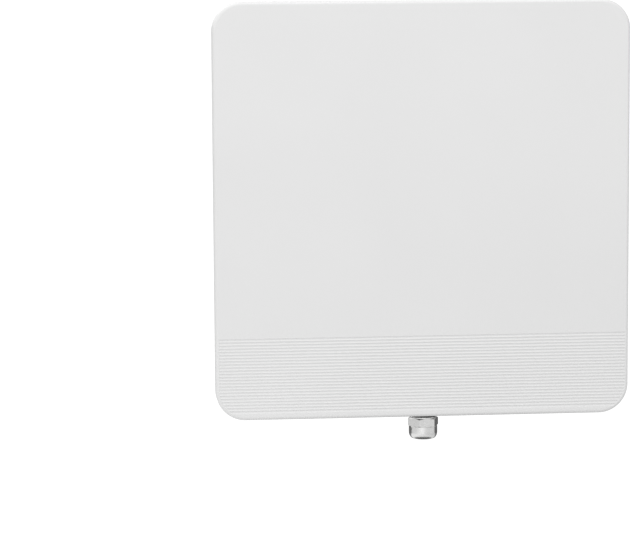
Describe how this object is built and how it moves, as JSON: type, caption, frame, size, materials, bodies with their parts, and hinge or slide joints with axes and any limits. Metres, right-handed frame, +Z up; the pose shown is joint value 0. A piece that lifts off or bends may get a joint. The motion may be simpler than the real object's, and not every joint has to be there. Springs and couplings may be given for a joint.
{
  "type": "outdoor wireless bridge",
  "caption": "Square flat-panel outdoor wireless bridge with a ribbed lower band, bottom cable gland, finned die-cast back and a tilting mast bracket.",
  "frame": {"origin": "middle of the mast bracket's flat rear face, between the two V saddles", "axes": "+Y out of the bracket's rear face towards the mast or wall, the panel faces -Y, +Z up, +X to the panel's right as seen from the front"},
  "size_m": [0.33, 0.1985, 0.3525],
  "materials": {
    "radome_plastic": "fine matt moulded texture, light grey-white",
    "die_cast_paint": "light grey powder coat on die-cast aluminium",
    "galvanised_steel": "zinc-plated sheet",
    "stainless_steel": "turned stainless",
    "nickel_brass": "satin nickel plating on brass",
    "rubber": "matt black",
    "bare_aluminium": "plain",
    "circuit_laminate": "green solder mask",
    "white_nylon": "natural nylon",
    "black_plastic": "moulded black",
    "thermal_pad": "soft grey silicone"
  },
  "bodies": {
    "mast_clamp": {"mast_bracket": "galvanised_steel", "pivot_bolt_left": "stainless_steel", "pivot_bolt_right": "stainless_steel", "lock_bolt_left": "stainless_steel", "lock_bolt_right": "stainless_steel", "mast_saddle_upper": "bare_aluminium", "mast_saddle_lower": "bare_aluminium", "u_bolt_upper": "stainless_steel", "u_bolt_lower": "stainless_steel", "u_bolt_nut_1": "stainless_steel", "u_bolt_nut_2": "stainless_steel", "u_bolt_nut_3": "stainless_steel", "u_bolt_nut_4": "stainless_steel"},
    "panel": {"radome": "radome_plastic", "case_gasket": "rubber", "rear_housing": "die_cast_paint", "case_screw_1": "stainless_steel", "case_screw_2": "stainless_steel", "case_screw_3": "stainless_steel", "case_screw_4": "stainless_steel", "case_screw_5": "stainless_steel", "case_screw_6": "stainless_steel", "case_screw_7": "stainless_steel", "case_screw_8": "stainless_steel", "antenna_board": "circuit_laminate", "reflector_plate": "bare_aluminium", "antenna_spacer_1": "white_nylon", "antenna_spacer_2": "white_nylon", "antenna_spacer_3": "white_nylon", "antenna_spacer_4": "white_nylon", "pigtail_vertical": "black_plastic", "pigtail_horizontal": "black_plastic", "radio_board": "circuit_laminate", "board_screw_1": "stainless_steel", "board_screw_2": "stainless_steel", "board_screw_3": "stainless_steel", "board_screw_4": "stainless_steel", "shield_can": "stainless_steel", "thermal_pad": "thermal_pad", "rj45_jack": "black_plastic", "ethernet_transformer": "black_plastic", "reset_switch": "black_plastic", "gland_entry_washer": "rubber", "gland_body": "nickel_brass", "gland_o_ring": "rubber", "gland_seal": "rubber", "vent_plug": "black_plastic", "ground_washer": "stainless_steel", "ground_screw": "stainless_steel", "panel_bracket": "galvanised_steel", "bracket_bolt_1": "stainless_steel", "bracket_bolt_2": "stainless_steel", "bracket_bolt_3": "stainless_steel", "bracket_bolt_4": "stainless_steel"},
    "gland_ring": {"gland_slip_ring": "white_nylon"},
    "gland_nut": {"gland_nut": "nickel_brass"},
    "reset_button": {"reset_button": "white_nylon"}
  },
  "joints": [
    {"name": "tilt", "type": "hinge", "parent": "mast_clamp", "child": "panel", "pos_m": [0, -0.032, 0.02], "axis": [1, 0, 0], "range_deg": [-15, 15]},
    {"name": "gland_ring_travel", "type": "slide", "parent": "panel", "child": "gland_ring", "axis": [0, 0, -1], "range_m": [0, 0.0061]},
    {"name": "gland_nut_turn", "type": "hinge", "parent": "gland_ring", "child": "gland_nut", "pos_m": [0.0035, -0.0915, -0.1785], "axis": [0, 0, -1], "range_deg": [0, 1440]},
    {"name": "reset_press", "type": "slide", "parent": "panel", "child": "reset_button", "axis": [0, 0, 1], "range_m": [0, 0.0003]}
  ],
  "couplings": [
    {"joint": "gland_ring_travel", "follows": "gland_nut_turn", "m_per_rad": 0.00023873}
  ]
}
